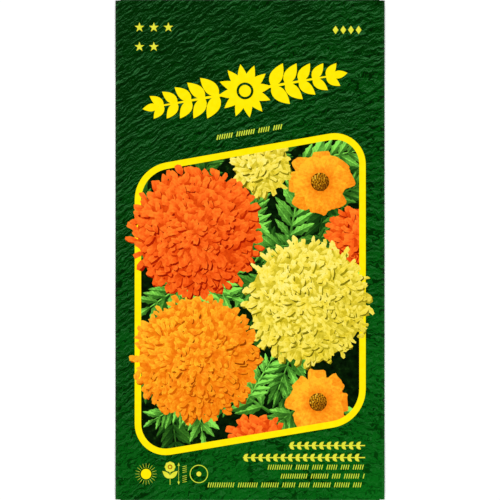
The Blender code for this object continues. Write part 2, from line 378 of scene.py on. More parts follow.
def bloom(draw, kind, centre, radius, framed):
    """A double flower seen from above: a dome of petals set by the golden angle, the outermost lowest."""
    yield Shape(circle(centre, radius * 0.9, count=40), kind.ink, centre, bright=kind.under, framed=framed)
    count = int(math.pi * (radius / kind.spacing) ** 2)
    for n in range(count - 1, -1, -1):
        share = math.sqrt((n + 0.5) / count)
        bearing = n * GOLDEN_ANGLE
        outward = direction(bearing)
        angle = bearing + draw.gauss(0.0, kind.jitter * (1 - 0.6 * share**4))
        length = kind.length * (0.8 + 0.3 * share) * draw.uniform(0.7, 1.3)
        half = kind.half_width * (0.9 + 0.3 * share**4) * draw.uniform(0.75, 1.25)
        bend = kind.bend * draw.uniform(-1, 1) * (1 - 0.4 * share**4)
        origin = moved(centre, outward, radius * share * draw.uniform(0.95, 1.02) - 0.55 * length)
        dome = Vector((share * outward.x, share * outward.y, math.sqrt(1 - 0.9 * share**2))).normalized()
        bright = 0.68 + 0.22 * max(0.0, dome @ PICTURE_LIGHT) + draw.gauss(0.0, kind.contrast)
        if draw.random() < kind.shadows * (1.2 - outward.y * share):
            below = moved(origin, PICTURE_LIGHT, -draw.uniform(0.35, 1.05))
            outline = placed(petal(draw, length, 1.1 * half, bend, SHADOW_POINTS), below, angle)
            yield Shape(outline, kind.ink, below, bright=draw.uniform(0.0, 0.5), framed=framed)
        outline = placed(petal(draw, length, half, bend, kind.points), origin, angle)
        yield Shape(outline, kind.ink, origin, angle, (length, half), bend, bright, draw.random(), framed)


def single(draw, centre, radius, petals):
    """A single flower: two rings of broad petals round a domed disc of florets."""
    for ring in (0, 1):
        for n in range(petals):
            angle = 2 * math.pi * (n + 0.5 * ring) / petals + draw.gauss(0.0, 0.05)
            length = radius * (0.98 - 0.16 * ring) * draw.uniform(0.93, 1.05)
            half = radius * 0.30 * draw.uniform(0.9, 1.1)
            bend = draw.uniform(-0.15, 0.15)
            bright = 0.74 + 0.14 * ring + 0.12 * (PICTURE_LIGHT.xy @ direction(angle))
            outline = placed(petal(draw, length, half, bend, 24, ruffle=0.05), centre, angle)
            size = (length, half)
            yield Shape(outline, "broad_petal", centre, angle, size, bend, bright, draw.random(), True)
    yield Shape(circle(centre, radius * 0.27), "disc_ink", centre, bright=0.1, framed=True)
    for n in range(FLORETS - 1, -1, -1):
        share = math.sqrt((n + 0.5) / FLORETS)
        outward = direction(n * GOLDEN_ANGLE)
        size = radius * 0.035
        middle = moved(centre, outward, radius * 0.26 * share)
        bright = (0.62 + 0.4 * (PICTURE_LIGHT.xy @ outward) * share) * draw.uniform(0.8, 1.2)
        yield Shape(circle(middle, size, count=7), "disc_ink", (middle[0] - size, middle[1]),
                    size=(2 * size, size), bright=bright, chance=draw.random(), framed=True)


def frond(draw, root, angle, length, bright):
    """A feathered leaf: pairs of saw-edged leaflets on a stalk, with one more at its end."""
    tip = away(root, angle, length)
    yield Shape(bar(root, tip, 0.05 * length, 0.3), "leaf_ink", root, angle, (length, 0.03 * length),
                0.0, bright, draw.random(), True)
    for i in range(2 * FROND_PAIRS + 1):
        share = (i // 2 + 1) / (FROND_PAIRS + 1)
        side = 0 if i == 2 * FROND_PAIRS else (1 if i % 2 else -1)
        turn = angle + side * math.radians(52 - 14 * share) + draw.gauss(0.0, 0.07)
        reach = length * (0.42 - 0.18 * abs(share - 0.35)) * draw.uniform(0.85, 1.15)
        half = reach * draw.uniform(0.16, 0.21)
        start = blend(root, tip, share)
        upward = Vector((-math.sin(turn), math.cos(turn)))
        lit = bright * draw.uniform(0.85, 1.15) * (1 + 0.25 * (PICTURE_LIGHT.xy @ upward))
        outline = placed(leaf(reach, half, teeth=4, depth=0.28), start, turn)
        yield Shape(outline, "leaf_ink", start, turn, (reach, half), 0.0, lit, draw.random(), True)


def hidden(shape):
    """Whether a shape lies wholly under one of the double flowers."""
    return any(
        all(math.dist(point, at(*middle)) < 0.8 * radius * PIXEL for point in shape.outline)
        for _, middle, radius, _ in BLOOMS
    )


def picture():
    """Flowers and leaves in a yellow frame."""
    corners = [at(*corner) for corner in FRAME_CORNERS]
    radii = [radius * PIXEL for radius in FRAME_RADII]
    yield Shape(rounded(corners, radii), "yellow_ink")
    yield Shape(rounded(corners, radii, FRAME_BAND * PIXEL), "shade_ink")
    draw = random.Random(PICTURE_SEED)
    for n in range(FROND_COUNT):
        root = at(draw.uniform(*FROND_COLUMNS), draw.uniform(*FROND_ROWS))
        length = draw.uniform(*FROND_LENGTHS)
        angle = draw.uniform(0, 2 * math.pi)
        if abs(away(root, angle, length)[0]) > FLAP_HALF_WIDTH:
            angle = math.pi - angle
        drawn = frond(draw, root, angle, length, 0.25 + 0.6 * n / FROND_COUNT)
        yield from (shape for shape in drawn if not hidden(shape))
    for middle, radius, petals in SINGLES:
        yield from single(draw, at(*middle), radius * PIXEL, petals)
    for kind, middle, radius, framed in BLOOMS:
        yield from bloom(draw, kind, at(*middle), radius * PIXEL, framed)


# Small motifs, used on the face and on the back


@dataclass
class Spot:
    """Where a small motif is drawn: its middle on the blank, its unit of length in millimetres, its ink and
    the ink of its thin lines."""

    middle: tuple
    unit: float
    ink: str
    thin_ink: str

    def to(self, a, b):
        return (self.middle[0] + a * self.unit, self.middle[1] + b * self.unit)

    def ring(self, a, b, radius, ink=None, count=24):
        return Shape(circle(self.to(a, b), radius * self.unit, count=count), ink or self.ink)

    def bar(self, start, end, width, taper=1.0, ink=None):
        return Shape(bar(self.to(*start), self.to(*end), width * self.unit, taper), ink or self.ink)

    def leaf(self, start, turn, length, half_width):
        outline = leaf(length * self.unit, half_width * self.unit)
        return Shape(placed(outline, self.to(*start), turn), self.ink)


def sun(spot):
    for turn in turns(20):
        yield spot.bar(away((0, 0), turn, 6.4), away((0, 0), turn, 10.8), 0.42, 0.6, spot.thin_ink)
    yield spot.ring(0, 0, 5.2)


def plant(spot):
    """A plant's height: a flower on its stem with two leaves, a double arrow, and strokes beside it."""
    yield spot.bar((0, -10.8), (0, 3.0), 0.6, ink=spot.thin_ink)
    for side in (-1, 1):
        yield spot.leaf((0, -4.4), math.pi / 2 - side * math.radians(46), 10.6, 2.4)
    for turn in turns(8):
        yield spot.ring(*away((0, 7.0), turn, 3.2), 2.2, count=12)
    yield spot.ring(0, 7.0, 2.4, "brown_ink")
    yield spot.ring(0, 7.0, 1.3)
    arrow, low, high = 8.6, -10.8, 11.3
    yield spot.bar((arrow, low + 2), (arrow, high - 2), 0.38, ink=spot.thin_ink)
    for tip, foot, half in ((high, high - 3.2, 1.2), (low, low + 3.2, -1.2)):
        points = [spot.to(arrow - half, foot), spot.to(arrow + half, foot), spot.to(arrow, tip)]
        yield Shape(points, spot.thin_ink)
    for row in (-4, -3, -2, -1, 1, 2, 3, 4):
        stroke = 1.95 * row - 0.6
        yield spot.bar((12.5, stroke), (16.7, stroke + 0.9), 0.5, ink=spot.thin_ink)


def spacing(spot, ground):
    """A plant's room: a dot in a ring."""
    yield spot.ring(0, 0, 9.2, spot.thin_ink, count=36)
    yield spot.ring(0, 0, 8.35, ground, count=36)
    yield spot.ring(0, 0, 2.4)


def garland(spot, slant, reach, pairs, ground, petals=12):
    """A leafy stem to each side of a daisy."""
    for angle in (slant, slant + math.pi):
        tip = away((0, 0), angle, reach)
        yield spot.bar((0, 0), tip, 3.2, 0.5)
        yield spot.leaf(tip, angle, 16, 4)
        for i in range(pairs):
            share = (i + 1.9) / (pairs + 1.3)
            length = 30 - 14 * share
            for side in (-1, 1):
                lean = angle + side * math.radians(58 - 16 * share)
                yield spot.leaf((share * tip[0], share * tip[1]), lean, length, 0.25 * length)
    for turn in turns(petals):
        yield spot.leaf((0, 0), slant + turn, 27, 5.2)
    yield spot.ring(0, 0, 8.5, ground)
    yield spot.ring(0, 0, 6.0)


def leafy_row(start, end, height, ink):
    """A level stem with small paired leaves, from its left end to its right end."""
    yield Shape(bar(start, end, 0.115 * height), ink)
    pitch = 0.78 * height
    for i in range(int((end[0] - start[0]) / pitch)):
        root = (start[0] + (i + 0.1) * pitch, start[1])
        for side in (-1, 1):
            yield Shape(placed(leaf(0.62 * height, 0.17 * height), root, side * math.radians(42)), ink)


def stroke_row(draw, start, end, height, ink, lean=0.25, stroke=0.22):
    """Groups of 4 to 12 strokes along a line. Lean and stroke are shares of its height."""
    slope = (end[1] - start[1]) / (end[0] - start[0])
    u, left = start[0], draw.randint(4, 12)
    while u < end[0] - 0.2 * height:
        v = start[1] + slope * (u - start[0])
        yield Shape(bar((u, v), (u + lean * height, v + height), stroke * height), ink)
        left -= 1
        u += (0.47 if left else 1.1) * height
        left = left or draw.randint(4, 12)


# The face's small motifs, all in the photograph's pixels
STARS = ((139.5, 27.5), (153.9, 27.5), (168.4, 27.5), (139.5, 46.9), (153.9, 46.9))
STAR_RADIUS = 5.1
DIAMONDS = ((335.5, 30), (343.2, 30), (350.9, 30), (358.6, 30))
DIAMOND_HALF_WIDTH, DIAMOND_HALF_HEIGHT = 0.68 * 4.2, 4.2
GARLAND_MIDDLE, GARLAND_REACH, GARLAND_PAIRS = (245, 91), 88, 5
GARLAND_SLANT = math.radians(10)
SUN_MIDDLE, PLANT_MIDDLE, SPACING_MIDDLE = (146.1, 473.9), (170.1, 473.8), (198.9, 473.8)
# Rows of strokes: both ends of the line under each, its height, and a stroke's width as a share of that
STROKE_ROWS = (
    ((217, 140.0), (282, 129.0), 5.0, 0.23),
    ((268, 469.4), (364, 469.4), 4.8, 0.185),
    ((281, 478.4), (364, 478.4), 4.8, 0.185),
    ((208, 487.2), (364, 487.2), 4.8, 0.185),
)
STROKE_SEED = 4
# Leafy rows: both ends and the size
LEAFY_ROWS = (((289, 445.5), (365, 445.5), 9.5), ((243, 457.5), (365, 457.5), 9.5))


def face_print():
    for middle in STARS:
        yield Shape(star(at(*middle), STAR_RADIUS * PIXEL), "pale_ink")
    for x, y in DIAMONDS:
        wide, tall = DIAMOND_HALF_WIDTH, DIAMOND_HALF_HEIGHT
        yield Shape([at(x - wide, y), at(x, y + tall), at(x + wide, y), at(x, y - tall)], "pale_ink")
    middle = Spot(at(*GARLAND_MIDDLE), PIXEL, "yellow_ink", "yellow_ink")
    yield from garland(middle, GARLAND_SLANT, GARLAND_REACH, GARLAND_PAIRS, "green_print")
    draw = random.Random(STROKE_SEED)
    for start, end, height, stroke in STROKE_ROWS:
        yield from stroke_row(draw, at(*start), at(*end), height * PIXEL, "lime_ink", stroke=stroke)
    for start, end, height in LEAFY_ROWS:
        yield from leafy_row(at(*start), at(*end), height * PIXEL, "pale_ink")
    yield from sun(Spot(at(*SUN_MIDDLE), PIXEL, "yellow_ink", "lime_ink"))
    yield from plant(Spot(at(*PLANT_MIDDLE), PIXEL, "pale_ink", "lime_ink"))
    yield from spacing(Spot(at(*SPACING_MIDDLE), PIXEL, "pale_ink", "lime_ink"), "green_print")


# The back's panel and what is printed on it, in millimetres from the back's middle as someone reads it
PANEL_LEFT, PANEL_RIGHT, PANEL_BOTTOM, PANEL_TOP = -34.0, 36.0, -57.0, 52.0
PANEL_MIDDLE = (PANEL_LEFT + PANEL_RIGHT) / 2
PANEL_RADIUS, PANEL_BAND, PANEL_MARGIN = 5.0, 0.9, 5.0
PRINT_LEFT, PRINT_WIDTH = PANEL_LEFT + PANEL_MARGIN, PANEL_RIGHT - PANEL_LEFT - 2 * PANEL_MARGIN
BACK_GARLAND_HEIGHT, BACK_GARLAND_UNIT, BACK_GARLAND_REACH, BACK_GARLAND_PAIRS = 40.0, 0.25, 92, 6
# Rows of strokes: how high each lies, and how much of the width it takes
BACK_ROWS = ((27.0, 1.0), (23.4, 1.0), (19.8, 1.0), (16.2, 0.55), (-25.0, 1.0), (-28.6, 1.0), (-32.2, 1.0),
             (-35.8, 1.0), (-39.4, 0.7))
BACK_ROW_HEIGHT = 1.5
BACK_STROKE_SEED = 7
MONTHS, SOWING, FLOWERING = 12, (2, 3, 4), (6, 7, 8, 9)
MONTH_BOTTOM, MONTH_HEIGHT, MONTH_LINE, MONTH_GAP = 4.0, 4.2, 0.25, 0.6
BACK_SIGNS, BACK_SIGN_UNIT = -12.0, 0.42
BACK_SIGN_PLACES = (-22.0, -1.8, 22.0)
BACK_LEAFY_ROW, BACK_LEAFY_SIZE = -49.0, 4.0


def on_back(a, b):
    """The place on the blank of a point of the back, a to the reader's right of its middle and b up."""
    return (BACK_MIDDLE + a, b)


def panel(left, right, bottom, top):
    return [on_back(left, bottom), on_back(right, bottom), on_back(right, top), on_back(left, top)]


def months(bottom, lit, ink):
    """A calendar strip: a cell for each month, some of them filled."""
    pitch = PRINT_WIDTH / MONTHS
    for n in range(MONTHS):
        left, right = PRINT_LEFT + n * pitch + MONTH_LINE, PRINT_LEFT + (n + 1) * pitch - MONTH_LINE
        for inset, colour in ((0.0, "green_ink"), (MONTH_LINE, ink if n in lit else "back_white")):
            low, high = bottom + inset, bottom + MONTH_HEIGHT - inset
            yield Shape(panel(left + inset, right - inset, low, high), colour)


def back_print():
    corners = panel(PANEL_LEFT, PANEL_RIGHT, PANEL_BOTTOM, PANEL_TOP)
    yield Shape(rounded(corners, [PANEL_RADIUS] * 4), "yellow_ink")
    yield Shape(rounded(corners, [PANEL_RADIUS] * 4, PANEL_BAND), "back_white")
    middle = Spot(on_back(PANEL_MIDDLE, BACK_GARLAND_HEIGHT), BACK_GARLAND_UNIT, "green_ink", "green_ink")
    yield from garland(middle, 0.0, BACK_GARLAND_REACH, BACK_GARLAND_PAIRS, "back_white")
    draw = random.Random(BACK_STROKE_SEED)
    for row, share in BACK_ROWS:
        start, end = on_back(PRINT_LEFT, row), on_back(PRINT_LEFT + share * PRINT_WIDTH, row)
        yield from stroke_row(draw, start, end, BACK_ROW_HEIGHT, "green_ink", lean=0.0)
    yield from months(MONTH_BOTTOM + MONTH_HEIGHT + MONTH_GAP, SOWING, "leaf_green")
    yield from months(MONTH_BOTTOM, FLOWERING, "flower_orange")
    signs = [Spot(on_back(PANEL_MIDDLE + a, BACK_SIGNS), BACK_SIGN_UNIT, "green_ink", "green_ink")
             for a in BACK_SIGN_PLACES]
    yield from sun(signs[0])
    yield from plant(signs[1])
    yield from spacing(signs[2], "back_white")
    start, end = on_back(PRINT_LEFT, BACK_LEAFY_ROW), on_back(PRINT_LEFT + PRINT_WIDTH, BACK_LEAFY_ROW)
    yield from leafy_row(start, end, BACK_LEAFY_SIZE, "green_ink")


# The sheet

# The cut's output that leaves out what no outline encloses
ENCLOSED_ONLY = 1
FOLD_CELLS = 10
FOLD_SIDE = 0.1
RISE_CELLS = 6
FACE_PITCH, FACE_INSET = 2.5, 1.0

# The green print ends on the glue tab, a little way under the back panel's edge
PRINT_BLEED = 1.5
PRINT_RIGHT = RIGHT_LINE + RIGHT_TURN + BACK_EDGE_INSET + PRINT_BLEED


def spread(start, end, pitch):
    count = max(1, round(abs(end - start) / pitch))
    return [start + (end - start) * i / count for i in range(count + 1)]


def fold_lines(start, end):
    """Where lines run along a fold: through it, and close beside it, which keeps its shading off the rest."""
    return [start - FOLD_SIDE, *spread(start, end, (end - start) / FOLD_CELLS), end + FOLD_SIDE]


def blank_outline():
    side = FLAP_HALF_WIDTH
    right = [(side, BLANK_BOTTOM), (side, -END_LINE), (BLANK_RIGHT, -END_LINE), (BLANK_RIGHT, END_LINE),
             (side, END_LINE), (side, BLANK_TOP)]
    left = [(-side, BLANK_TOP), (-side, END_LINE), (BLANK_LEFT, END_LINE), (BLANK_LEFT, -END_LINE),
            (-side, -END_LINE), (-side, BLANK_BOTTOM)]
    return right + left


def blank_lines():
    """Lines that let the blank fold and rise, and the one that the green print ends at."""
    left = fold_lines(-LEFT_LINE - LEFT_TURN, -LEFT_LINE)
    right = fold_lines(RIGHT_LINE, RIGHT_LINE + RIGHT_TURN)
    lines = [((u, -END_LINE), (u, END_LINE)) for u in [*left, *right, PRINT_RIGHT]]
    for side in (-1, 1):
        inner, *outer = [side * v for v in fold_lines(END_LINE, END_LINE + END_FOLD_ARC)]
        lines.append(((BLANK_LEFT, inner), (BLANK_RIGHT, inner)))
        lines += [((-FLAP_HALF_WIDTH, v), (FLAP_HALF_WIDTH, v)) for v in outer]
    for start, end in ((BOTTOM_RISE - RISE_LENGTH, BOTTOM_RISE), (TOP_RISE, TOP_RISE + RISE_LENGTH)):
        rows = spread(start, end, RISE_LENGTH / RISE_CELLS)
        lines += [((BLANK_LEFT, v), (BLANK_RIGHT, v)) for v in rows]
    return lines


def blank_points():
    """Points over the face that let it swell, a little inside its folds."""
    us = spread(-LEFT_LINE + FACE_INSET, RIGHT_LINE - FACE_INSET, FACE_PITCH)
    vs = spread(-END_LINE + FACE_INSET, END_LINE - FACE_INSET, FACE_PITCH)
    return [(u, v) for u in us for v in vs]


def chained(points):
    """A line's points with more between them, so that no part of it is longer than the face's pitch."""
    found = []
    for start, end in zip(points, points[1:]):
        parts = math.ceil(math.dist(start, end) / FACE_PITCH)
        found += [blend(start, end, i / parts) for i in range(parts)]
    return [*found, points[-1]]


def divide(shapes):
    """Cuts the blank along every outline. Returns the points, the triangles and the shapes over each one.
    Number 0 is the blank itself, and what lies outside it isn't kept."""
    coords, edges, faces = [], [], []
    for outline in [blank_outline(), *(shape.outline for shape in shapes)]:
        parts = chained([*outline, outline[0]])[:-1]
        faces.append(list(range(len(coords), len(coords) + len(parts))))
        coords += parts
    for line in blank_lines():
        parts = chained(line)
        edges += [(i, i + 1) for i in range(len(coords), len(coords) + len(parts) - 1)]
        coords += parts
    coords += blank_points()
    coords = [Vector(c) for c in coords]
    made = geometry.delaunay_2d_cdt(coords, edges, faces, ENCLOSED_ONLY, NEAR, True)
    points, _, triangles, _, _, held = made
    kept = [(triangle, over) for triangle, over in zip(triangles, held, strict=True) if 0 in over]
    return np.array([tuple(p) for p in points]), np.array([t for t, _ in kept]), [over for _, over in kept]


def topmost(over, shapes):
    """The index of the shape that shows in a triangle, or -1 for the bare blank. A framed shape shows only
    over the picture's ground."""
    framed = PICTURE_GROUND + 1 in over
    for index in sorted(over, reverse=True):
        if index > 0 and (framed or not shapes[index - 1].framed):
            return index - 1
    return -1


def divide_shown(shapes):
    """Cuts the blank along the outlines of the shapes that show somewhere. Returns those shapes, the points,
    the triangles and the index of the shape that shows in each one."""
    _, _, over = divide(shapes)
    shown = {topmost(held, shapes) for held in over}
    left = [shape for index, shape in enumerate(shapes) if index in shown]
    points, triangles, over = divide(left)
    return left, points, triangles, np.array([topmost(held, left) for held in over])


def ground_of(middles, inks):
    """What the blank has where no shape is: bare paper at the glue tab's edge, green elsewhere."""
    bare = middles[:, 0] > PRINT_RIGHT
    return np.where(bare, inks.index("bare_paper"), inks.index("green_print"))


def motif_values(shapes, shown, flat):
    """For each triangle's corners: where each is on its motif, and the light across and along the motif.
    The empty shape at the list's end is for the blank, whose index is -1."""
    listed = [*shapes, Shape([], "")]
    origin = np.array([s.origin for s in listed])[shown][:, None, :]
    length, half = np.array([s.size for s in listed])[shown].T[:, :, None]
    angle, bend, bright, chance = (
        np.array([getattr(s, name) for s in listed])[shown][:, None]
        for name in ("angle", "bend", "bright", "chance")
    )
    cos, sin = np.cos(angle), np.sin(angle)
    off_u, off_v = (flat - origin)[..., 0], (flat - origin)[..., 1]
    along, across = unbent(off_u * cos + off_v * sin, off_v * cos - off_u * sin, bend / length)
    turn = angle + bend * np.clip(along / length, 0.0, 1.0)
    side = PICTURE_LIGHT.y * np.cos(turn) - PICTURE_LIGHT.x * np.sin(turn)
    end = PICTURE_LIGHT.x * np.cos(turn) + PICTURE_LIGHT.y * np.sin(turn)
    motif = np.stack(np.broadcast_arrays(across / half, along / length, chance), axis=-1)
    light = np.stack(np.broadcast_arrays(side, end, bright), axis=-1)
    return {"motif": motif, "light": light}


def rim_faces(outer, triangles, inner):
    """The sheet's cut edge: a strip of faces that joins its two sides along the blank's outline."""
    edges = dict.fromkeys(edge for a, b, c in triangles for edge in ((a, b), (b, c), (c, a)))
    rim = [(a, b) for a, b in edges if (b, a) not in edges]
    keys = {tuple(np.round(p, 2)): i for i, p in enumerate(inner)}
    below = {a: keys[tuple(np.round(outer[a], 2))] + len(outer) for a, _ in rim}
    return [(b, a, below[a], below[b]) for a, b in rim]


# The map for baking: the printed side at one scale, the inner side squeezed in beside it, the rim round it
MAP_NAME = "OFBake"
MAP_MARGIN = 0.01
MAP_SCALE = (1 - 2 * MAP_MARGIN) / (BLANK_TOP - BLANK_BOTTOM)
INNER_LEFT, INNER_WIDTH = 0.925, 0.07
RIM_WIDTH = 0.6


def map_places(outer, triangles, inner, inner_triangles, rim):
    corner = np.array([BLANK_LEFT, BLANK_BOTTOM])
    outer_map = (outer - corner) * MAP_SCALE + MAP_MARGIN
    inner_map = (inner - corner) * MAP_SCALE + MAP_MARGIN
    inner_map[:, 0] = INNER_LEFT + (inner[:, 0] - BLANK_LEFT) / (BLANK_RIGHT - BLANK_LEFT) * INNER_WIDTH
    first, second = outer_map[[face[1] for face in rim]], outer_map[[face[0] for face in rim]]
    run = second - first
    outward = np.stack([run[:, 1], -run[:, 0]], axis=-1) / np.linalg.norm(run, axis=1)[:, None]
    outward *= RIM_WIDTH * MAP_SCALE
    rim_map = np.stack([second, first, first + outward, second + outward], axis=1)
    parts = (outer_map[triangles], inner_map[inner_triangles[:, ::-1]], rim_map)
    return np.concatenate([part.reshape(-1, 2) for part in parts])


def add_values(mesh, name, domain, values, count):
    """Gives a mesh three numbers for each point or corner. The last ones, if any are missing, are zeros."""
    filled = np.zeros((count, 3), np.float32)
    values = values.reshape(-1, values.shape[-1])
    filled[: len(values), : values.shape[1]] = values
    mesh.attributes.new(name, "FLOAT_VECTOR", domain).data.foreach_set("vector", filled.ravel())


def add_object(name, data):
    made = bpy.data.objects.new(name, data)
    bpy.context.scene.collection.objects.link(made)
    return made


def make_sheet():
    inks = list(INKS)
    shapes, outer, triangles, shown = divide_shown([*picture(), *face_print(), *back_print()])
    inner, inner_triangles, _ = divide([])
    flat = outer[triangles]
    painted = ground_of(flat.mean(axis=1), inks)
    drawn = shown >= 0
    painted[drawn] = [inks.index(shapes[i].ink) for i in shown[drawn]]

    rim = rim_faces(outer, triangles, inner)
    faces = triangles.tolist() + (inner_triangles[:, ::-1] + len(outer)).tolist() + rim
    places = np.concatenate([fold(*outer.T, PAPER / 2), fold(*inner.T, -PAPER / 2)]) * MM
    mesh = bpy.data.meshes.new("printed_sheet")
    mesh.from_pydata(places.tolist(), [], faces)
    bare = len(faces) - len(triangles)
    mesh.polygons.foreach_set("material_index", [*painted, *[inks.index("bare_paper")] * bare])
    mesh.polygons.foreach_set("use_smooth", [True] * (len(faces) - len(rim)) + [False] * len(rim))
    for name, values in motif_values(shapes, shown, flat).items():
        add_values(mesh, name, "CORNER", values, len(mesh.loops))
    add_values(mesh, "sheet", "POINT", np.concatenate([outer, inner]), len(places))
    map_layer = mesh.uv_layers.new(name=MAP_NAME)
    map_layer.data.foreach_set("uv", map_places(outer, triangles, inner, inner_triangles, rim).ravel())
    mesh.validate()
    for make in INKS.values():
        mesh.materials.append(make())
    return add_object("printed_sheet", mesh)


# Materials


GLOSS_ROUGHNESS, WORN_ROUGHNESS = 0.24, 0.62
SPECULAR = 0.12


class Graph:
    """A material's nodes. Most methods add some, feed them and return what they put out."""

    def __init__(self, name, roughness=GLOSS_ROUGHNESS):
        self.material = bpy.data.materials.new(name)
        self.material.use_nodes = True
        self.tree = self.material.node_tree
        self.shader = self.tree.nodes["Principled BSDF"]
        self.shader.inputs["Specular IOR Level"].default_value = SPECULAR
        self.set_roughness(roughness)

    def set_roughness(self, value):
        self.feed(self.shader.inputs["Roughness"], value)

    def feed(self, socket, value):
        if isinstance(value, bpy.types.NodeSocket):
            self.tree.links.new(value, socket)
        elif socket.type == "RGBA":
            socket.default_value = (*value, 1.0)
        else:
            socket.default_value = value

    def add(self, kind, inputs, **settings):
        node = self.tree.nodes.new("ShaderNode" + kind)
        for name, value in settings.items():
            setattr(node, name, value)
        for key, value in inputs.items():
            self.feed(node.inputs[key], value)
        return node

    def maths(self, operation, *values, clamp=False):
        return self.add("Math", dict(enumerate(values)), operation=operation, use_clamp=clamp).outputs[0]

    def plus(self, first, second):
        return self.maths("ADD", first, second)

    def minus(self, first, second):
        return self.maths("SUBTRACT", first, second)

    def times(self, product, *factors):
        for factor in factors:
            product = self.maths("MULTIPLY", product, factor)
        return product

    def line(self, value, slope, start):
        """The value times a slope, plus a start."""
        return self.maths("MULTIPLY_ADD", value, slope, start)

    def unsigned(self, value):
        return self.maths("ABSOLUTE", value)

    def attribute(self, name):
        return self.add("Attribute", {}, attribute_name=name).outputs["Vector"]

    def split(self, vector):
        return self.add("SeparateXYZ", {0: vector}).outputs

    def join(self, x, y, z=0.0):
        return self.add("CombineXYZ", {0: x, 1: y, 2: z}).outputs[0]

    def noise(self, vector, scale, detail, roughness=0.5):
        inputs = {"Vector": vector, "Scale": scale, "Detail": detail, "Roughness": roughness}
        return self.add("TexNoise", inputs).outputs[0]

    def ranged(self, value, low, high, new_low=0.0, new_high=1.0):
        """An S-curve from one new value to the other, while the value goes from low to high."""
        inputs = {"Value": value, "From Min": low, "From Max": high, "To Min": new_low, "To Max": new_high}
        return self.add("MapRange", inputs, interpolation_type="SMOOTHSTEP").outputs[0]

    def mix(self, share, first, second, blend_type="MIX"):
        node = self.add("Mix", {0: share}, data_type="RGBA", blend_type=blend_type)
        self.feed(node.inputs[6], first)
        self.feed(node.inputs[7], second)
        return node.outputs[2]

    def ramp(self, value, places, colours):
        """A colour between screen colours that lie at places from 0 to 1."""
        node = self.add("ValToRGB", {0: value})
        points = node.color_ramp.elements
        while len(points) < len(places):
            points.new(0.5)
        for point, place, colour in zip(points, places, colours, strict=True):
            point.position, point.color = place, (*srgb(*colour), 1.0)
        return node.outputs[0]

    def motif(self):
        """Where a point is across and along its petal or leaf, that one's own chance, and the light: across
        it, along it and how bright."""
        return (*self.split(self.attribute("motif")), *self.split(self.attribute("light")))

    def streaks(self, across, along, chance, low, high):
        """A factor from low to high, from noise that is unlike on each petal or leaf."""
        place = self.join(across, along, self.times(chance, 60.0))
        return self.ranged(self.noise(place, 1.0, 3.0, 0.6), 0.3, 0.7, low, high)

    def finish(self, colour, height=None, strength=0.1, distance=0.02 * MM):
        """Sends a colour to the shader, and a height to it as relief."""
        self.feed(self.shader.inputs["Base Color"], colour)
        if height is not None:
            bump = self.add("Bump", {"Height": height, "Strength": strength, "Distance": distance})
            self.feed(self.shader.inputs["Normal"], bump.outputs[0])
        return self.material


# How calm the green print is in its middle, and how that grows for each millimetre to the right and upwards
CALM, CALM_RIGHTWARD, CALM_UPWARD = 0.42, 0.0034, -0.0052
# The ridges' mean slope from the middle to a place: near the middle, and its growth for each millimetre to
# the right. The last number spreads the ridges out towards the right.
CLIMB, CLIMB_GROWTH, CLIMB_SPREAD = 0.36, -0.0038, -0.000015
# The ground where the print is least and most calm, and the ridges' upper and lower sides
WILD_GREEN, CALM_GREEN = srgb(0, 42, 1), srgb(6, 96, 18)
UPPER_GREEN, LOWER_GREEN = srgb(46, 106, 54), srgb(0, 27, 0)
# The crinkle's layers: the length and width of its ridges in millimetres, noise detail, how many millimetres
# apart its noise is compared, and its strength where the print is least and most calm
CRINKLES = (
    (3.6, 1.2, 0.5, 0.27, 1.7, 1.5),
    (1.5, 0.62, 1.5, 0.14, 1.1, 0.8),
    (0.48, 0.44, 1.0, 0.12, 1.4, 1.6),
)
# The cracks in the calmer part: their length and spacing in millimetres, the share of the spacing over which
# their noise's steepness is measured, and the least steepness that counts
CRACK_LENGTH, CRACK_PITCH = 8.0, 2.3
CRACK_STEP, CRACK_STEEPNESS = 0.04, 0.012


def across_ridges(graph, sheet, u, v, calm):
    """How far each point is across the ridges in millimetres. It stays the same along a ridge."""
    sway = graph.line(graph.noise(sheet, 0.22, 1.0), 2.6, -1.3)
    unrest = graph.plus(graph.line(calm, 0.8, 0.8), graph.ranged(v, -5.0, -70.0, 0.0, 1.1))
    wiggle = graph.times(graph.minus(graph.noise(sheet, 0.75, 1.0), 0.5), unrest)
    climb = graph.times(graph.line(u, CLIMB_GROWTH, CLIMB), u)
    from_left = graph.plus(u, HALF_WIDTH)
    level = graph.line(graph.times(from_left, from_left), CLIMB_SPREAD, 1.0)
    return graph.plus(graph.plus(sway, wiggle), graph.minus(graph.times(level, v), climb))


def two_noises(graph, u, across, length, width, step, detail, lane=0.0):
    """Noise drawn out along the ridges to a length and a width, and the same a step further across them. The
    step is a share of the width."""
    run = graph.times(u, 1 / length)
    return (
        graph.noise(graph.join(run, graph.line(across, 1 / width, shift), lane), 1.0, detail)
        for shift in (0.0, step)
    )


def ridges(graph, u, across, calm):
    """The height of the crinkle's layers, which is strongest a third of the way down the face."""
    relief = 0.0
    for lane, (long, wide, detail, step, strong, weak) in enumerate(CRINKLES):
        near, far = two_noises(graph, u, across, long, wide, step / wide, detail, 5.0 * lane)
        relief = graph.line(graph.minus(near, far), graph.line(calm, weak - strong, strong), relief)
    swell = graph.minus(graph.ranged(calm, 0.0, 0.25), graph.ranged(calm, 0.25, 0.6))
    return graph.times(relief, graph.line(swell, 0.35, 1.0))


